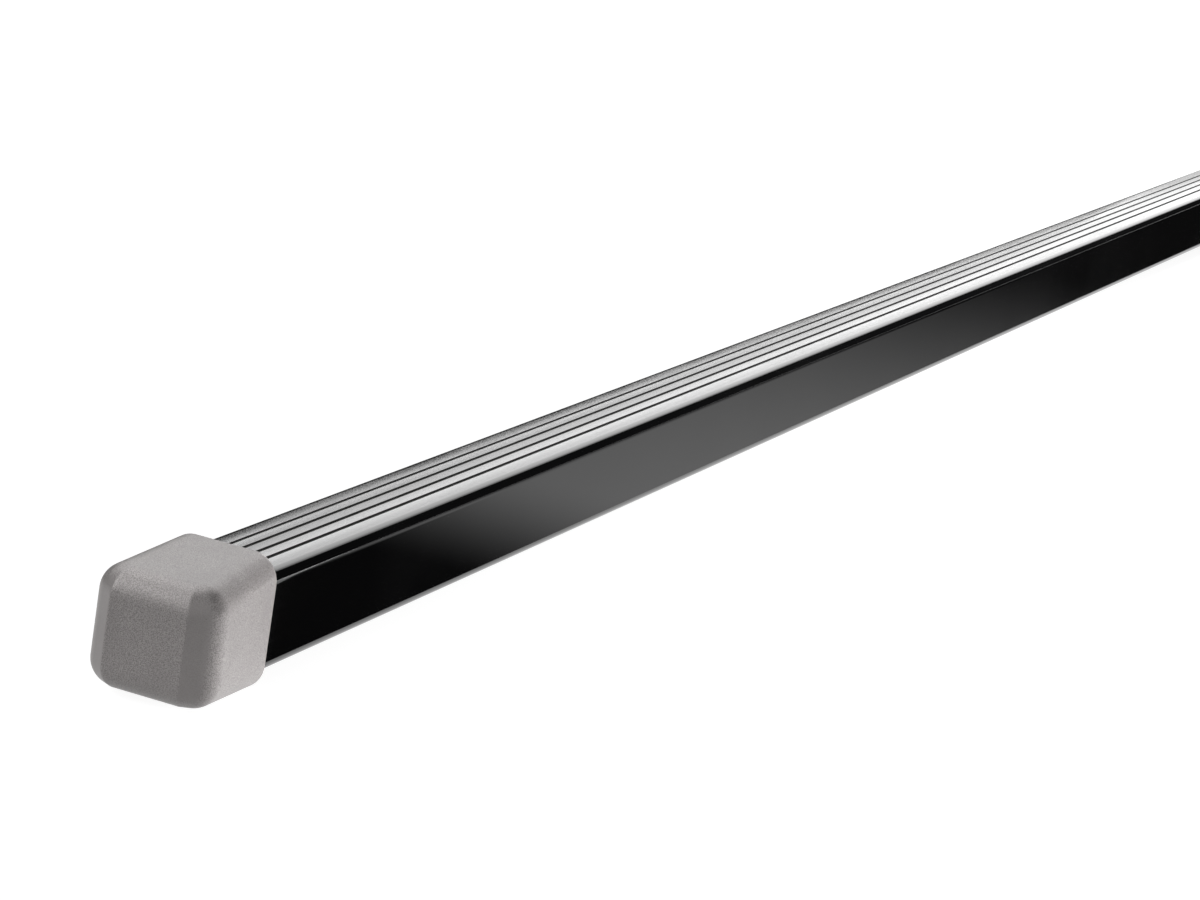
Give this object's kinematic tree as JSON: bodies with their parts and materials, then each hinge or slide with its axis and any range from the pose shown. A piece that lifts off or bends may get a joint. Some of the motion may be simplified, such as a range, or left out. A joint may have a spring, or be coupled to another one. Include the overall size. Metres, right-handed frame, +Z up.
{
  "type": "roof rack crossbar",
  "caption": "Square steel roof rack crossbar in a glossy black ribbed plastic jacket, with push-on moulded grey caps that plug its open ends.",
  "frame": {"origin": "middle of the bar's flat underside, halfway along it, where the bar sits on its feet", "axes": "+X along the bar, +Z up out of the grooved top, -Y the side that the picture shows"},
  "size_m": [1.286, 0.0368, 0.0369],
  "materials": {
    "galvanised_steel": "satin zinc",
    "black_jacket": "glossy, lightly textured on top",
    "grey_cap": "satin, fine grain"
  },
  "bodies": {
    "bar": {"steel_tube": "galvanised_steel", "plastic_jacket": "black_jacket"},
    "cap_left": {"end_cap_left": "grey_cap"},
    "cap_right": {"end_cap_right": "grey_cap"}
  },
  "joints": [
    {"name": "cap_left_pull", "type": "slide", "parent": "bar", "child": "cap_left", "axis": [-1, 0, 0], "range_m": [0, 0.036]},
    {"name": "cap_right_pull", "type": "slide", "parent": "bar", "child": "cap_right", "axis": [1, 0, 0], "range_m": [0, 0.036]}
  ]
}
